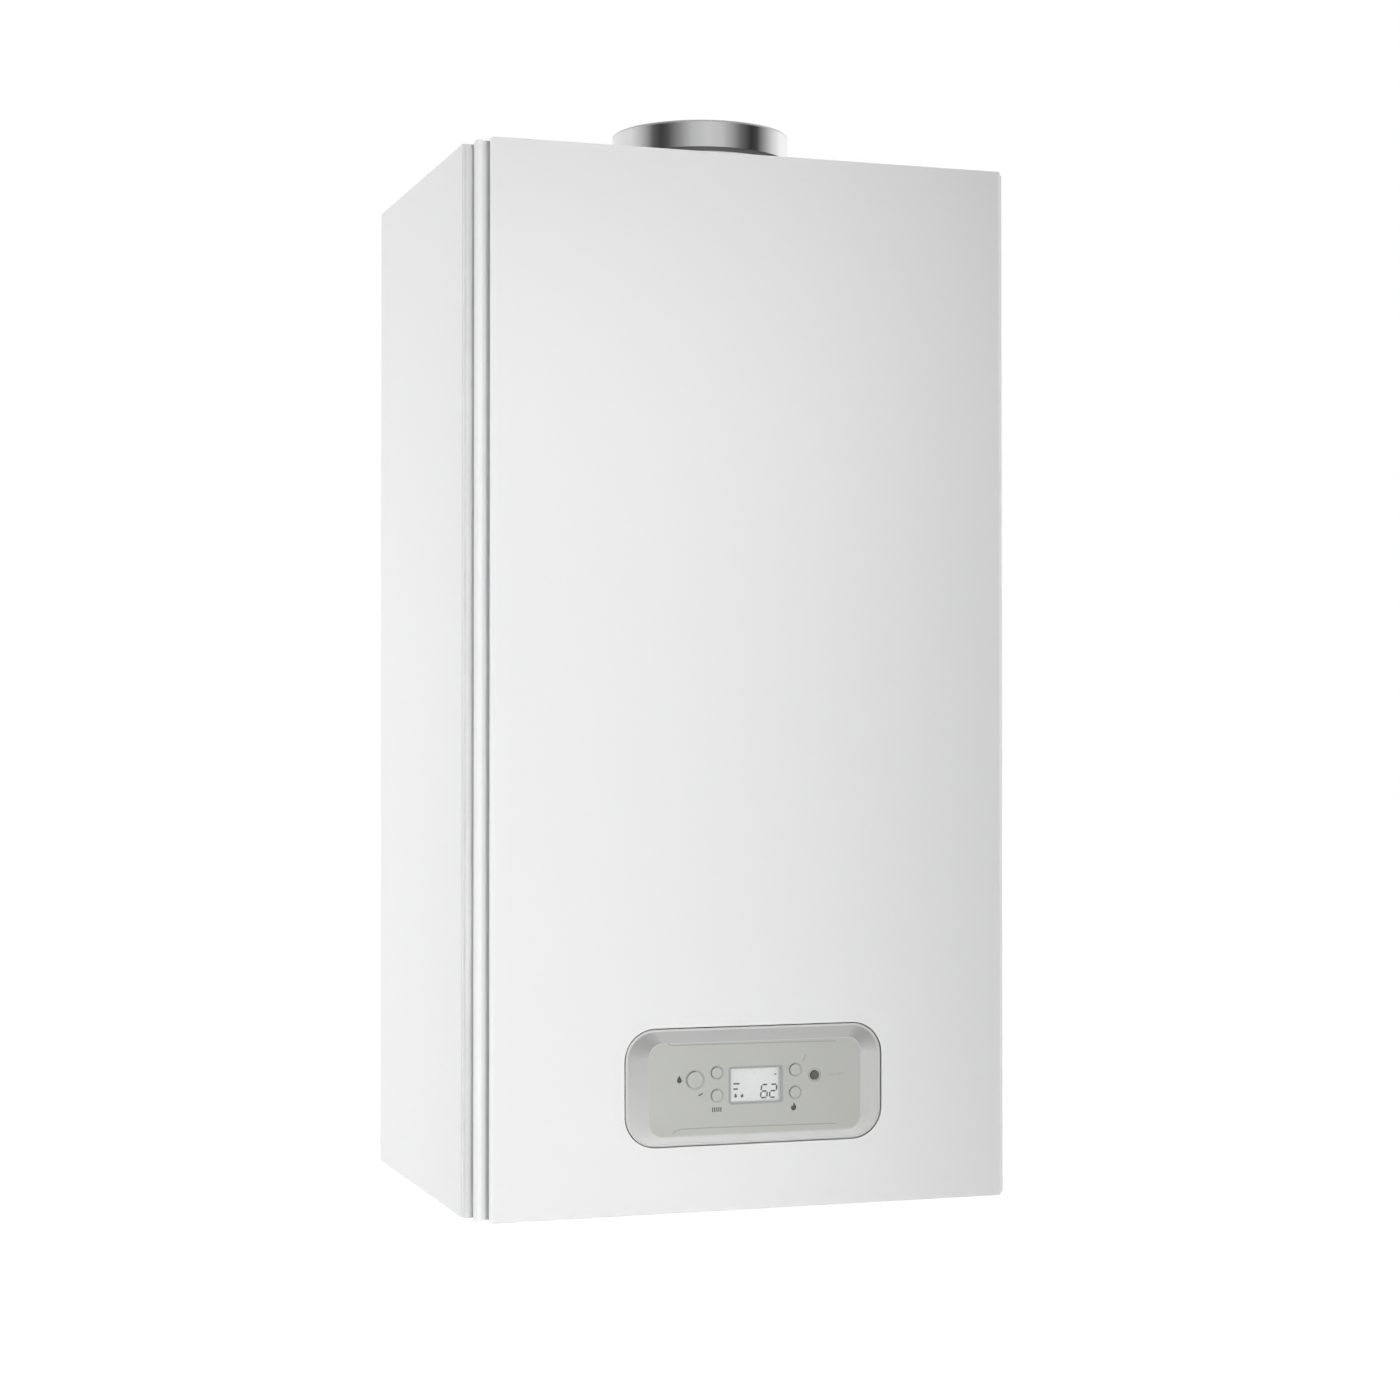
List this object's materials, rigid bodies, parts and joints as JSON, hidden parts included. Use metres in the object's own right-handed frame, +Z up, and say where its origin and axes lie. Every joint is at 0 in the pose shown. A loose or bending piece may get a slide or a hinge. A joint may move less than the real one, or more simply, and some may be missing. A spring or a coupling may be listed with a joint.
{
  "type": "combi boiler",
  "caption": "Wall-hung condensing combi boiler: white steel casing with a stepped lift-off cover, oval control panel with display and keys, and a round concentric flue collar on top.",
  "frame": {"origin": "on the wall plane, midway between the wall bracket's two fixing holes", "axes": "+X to the right seen from the room, +Y into the wall, +Z up; the front faces -Y"},
  "size_m": [0.4, 0.3, 0.7834],
  "materials": {
    "painted_steel": "white powder coat, satin",
    "galvanised_steel": "zinc-coated sheet, dull",
    "polished_collar": "polished flue collar on a pale base",
    "flue_tube": "drawn aluminium, dull",
    "screw_steel": "zinc plated",
    "spring_steel": "blued spring steel",
    "seal_foam": "pale grey closed-cell foam, matte",
    "exchanger_shell": "glass-filled composite shell",
    "stainless": "stainless steel, brushed",
    "cast_aluminium": "die-cast aluminium, as cast",
    "fibre_board": "ceramic fibre board, fibrous",
    "ceramic_white": "glazed ceramic with steel rods",
    "motor_black": "black moulded plastic",
    "pump_cast": "cast iron, painted dark grey",
    "water_block": "composite water block with brass tails",
    "gas_yellow": "copper gas pipe with brass union",
    "copper": "drawn copper, slightly tarnished",
    "brass": "machined brass",
    "vessel_red": "red enamel on steel",
    "trap_white": "translucent white plastic",
    "knob_red": "red moulded plastic",
    "knob_blue": "blue moulded plastic",
    "gland_black": "black nylon",
    "box_grey": "grey moulded plastic",
    "fascia_silver": "satin silver-grey moulding",
    "board_green": "printed circuit board",
    "display_glass": "clear window",
    "display_face": "pale liquid-crystal display",
    "button_grey": "satin grey button",
    "button_dark": "dark grey button"
  },
  "bodies": {
    "root": {"left_side_panel": "painted_steel", "right_side_panel": "painted_steel", "top_panel": "painted_steel", "wall_bracket": "galvanised_steel", "rear_frame": "galvanised_steel", "bottom_plate": "galvanised_steel", "hinge_rail": "galvanised_steel", "flue_adapter": "polished_collar", "flue_socket": "flue_tube", "casing_screws": "screw_steel", "door_nuts": "screw_steel", "cover_studs": "screw_steel", "cover_seal": "seal_foam", "exchanger_housing": "exchanger_shell", "exchanger_coil": "stainless", "burner": "stainless", "plate_heat_exchanger": "stainless", "burner_door": "cast_aluminium", "mixture_duct": "cast_aluminium", "fan_volute": "cast_aluminium", "gas_valve": "cast_aluminium", "venturi": "cast_aluminium", "door_insulation": "fibre_board", "ignition_electrode": "ceramic_white", "flame_sensor": "ceramic_white", "fan_motor": "motor_black", "pump_motor": "motor_black", "diverter_motor": "motor_black", "pump_volute": "pump_cast", "flow_block": "water_block", "return_block": "water_block", "gas_pipe": "gas_yellow", "gas_tube": "gas_yellow", "flow_pipe": "copper", "return_pipe": "copper", "vessel_pipe": "copper", "relief_valve": "brass", "air_vent": "brass", "expansion_vessel": "vessel_red", "condensate_trap": "trap_white", "cable_gland": "gland_black"},
    "cover": {"front_cover": "painted_steel", "cover_clips": "spring_steel"},
    "control_box": {"control_tray": "box_grey", "control_fascia": "fascia_silver", "main_board": "board_green", "display_module": "display_face", "display_lens": "display_glass"},
    "fan_rotor": {"fan_impeller": "motor_black"},
    "pump_rotor": {"pump_impeller": "motor_black"},
    "flow_rotor": {"flow_turbine": "gland_black"},
    "diverter": {"diverter_spindle": "brass"},
    "relief_cap": {"relief_knob": "knob_red"},
    "filling_handle": {"filling_knob": "knob_blue"},
    "mode_key": {"mode_button": "button_grey"},
    "left_upper_key": {"left_upper_button": "button_grey"},
    "left_lower_key": {"left_lower_button": "button_grey"},
    "right_upper_key": {"right_upper_button": "button_grey"},
    "right_lower_key": {"right_lower_button": "button_grey"},
    "power_key": {"power_button": "button_dark"}
  },
  "joints": [
    {"name": "cover_pull", "type": "slide", "parent": "root", "child": "cover", "axis": [0, -1, 0], "range_m": [0, 0.45]},
    {"name": "control_box_tilt", "type": "hinge", "parent": "root", "child": "control_box", "pos_m": [0, -0.222, -0.622], "axis": [1, 0, 0], "range_deg": [0, 80]},
    {"name": "fan_spin", "type": "hinge", "parent": "root", "child": "fan_rotor", "pos_m": [-0.095, -0.21, -0.325], "axis": [0, -1, 0], "continuous": true},
    {"name": "pump_spin", "type": "hinge", "parent": "root", "child": "pump_rotor", "pos_m": [0.11, -0.115, -0.47], "axis": [0, -1, 0], "continuous": true},
    {"name": "flow_turbine_spin", "type": "hinge", "parent": "root", "child": "flow_rotor", "pos_m": [0.065, -0.11, -0.571], "axis": [0, 0, 1], "continuous": true},
    {"name": "diverter_stroke", "type": "slide", "parent": "root", "child": "diverter", "axis": [0, 0, 1], "range_m": [0, 0.007]},
    {"name": "relief_knob_turn", "type": "hinge", "parent": "root", "child": "relief_cap", "pos_m": [0.14, -0.19, -0.568], "axis": [0, -1, 0], "range_deg": [0, 90]},
    {"name": "filling_knob_turn", "type": "hinge", "parent": "root", "child": "filling_handle", "pos_m": [0.0975, -0.11, -0.66], "axis": [0, 0, 1], "range_deg": [0, 90]},
    {"name": "mode_press", "type": "slide", "parent": "control_box", "child": "mode_key", "axis": [0, 1, 0], "range_m": [0, 0.0008], "stiffness_N_per_m": 600, "springref_m": -0.001},
    {"name": "left_upper_press", "type": "slide", "parent": "control_box", "child": "left_upper_key", "axis": [0, 1, 0], "range_m": [0, 0.0008], "stiffness_N_per_m": 600, "springref_m": -0.001},
    {"name": "left_lower_press", "type": "slide", "parent": "control_box", "child": "left_lower_key", "axis": [0, 1, 0], "range_m": [0, 0.0008], "stiffness_N_per_m": 600, "springref_m": -0.001},
    {"name": "right_upper_press", "type": "slide", "parent": "control_box", "child": "right_upper_key", "axis": [0, 1, 0], "range_m": [0, 0.0008], "stiffness_N_per_m": 600, "springref_m": -0.001},
    {"name": "right_lower_press", "type": "slide", "parent": "control_box", "child": "right_lower_key", "axis": [0, 1, 0], "range_m": [0, 0.0008], "stiffness_N_per_m": 600, "springref_m": -0.001},
    {"name": "power_press", "type": "slide", "parent": "control_box", "child": "power_key", "axis": [0, 1, 0], "range_m": [0, 0.0008], "stiffness_N_per_m": 600, "springref_m": -0.001}
  ],
  "couplings": [
    {"joint": "control_box_tilt", "follows": "cover_pull", "rad_per_m": 3.1}
  ]
}
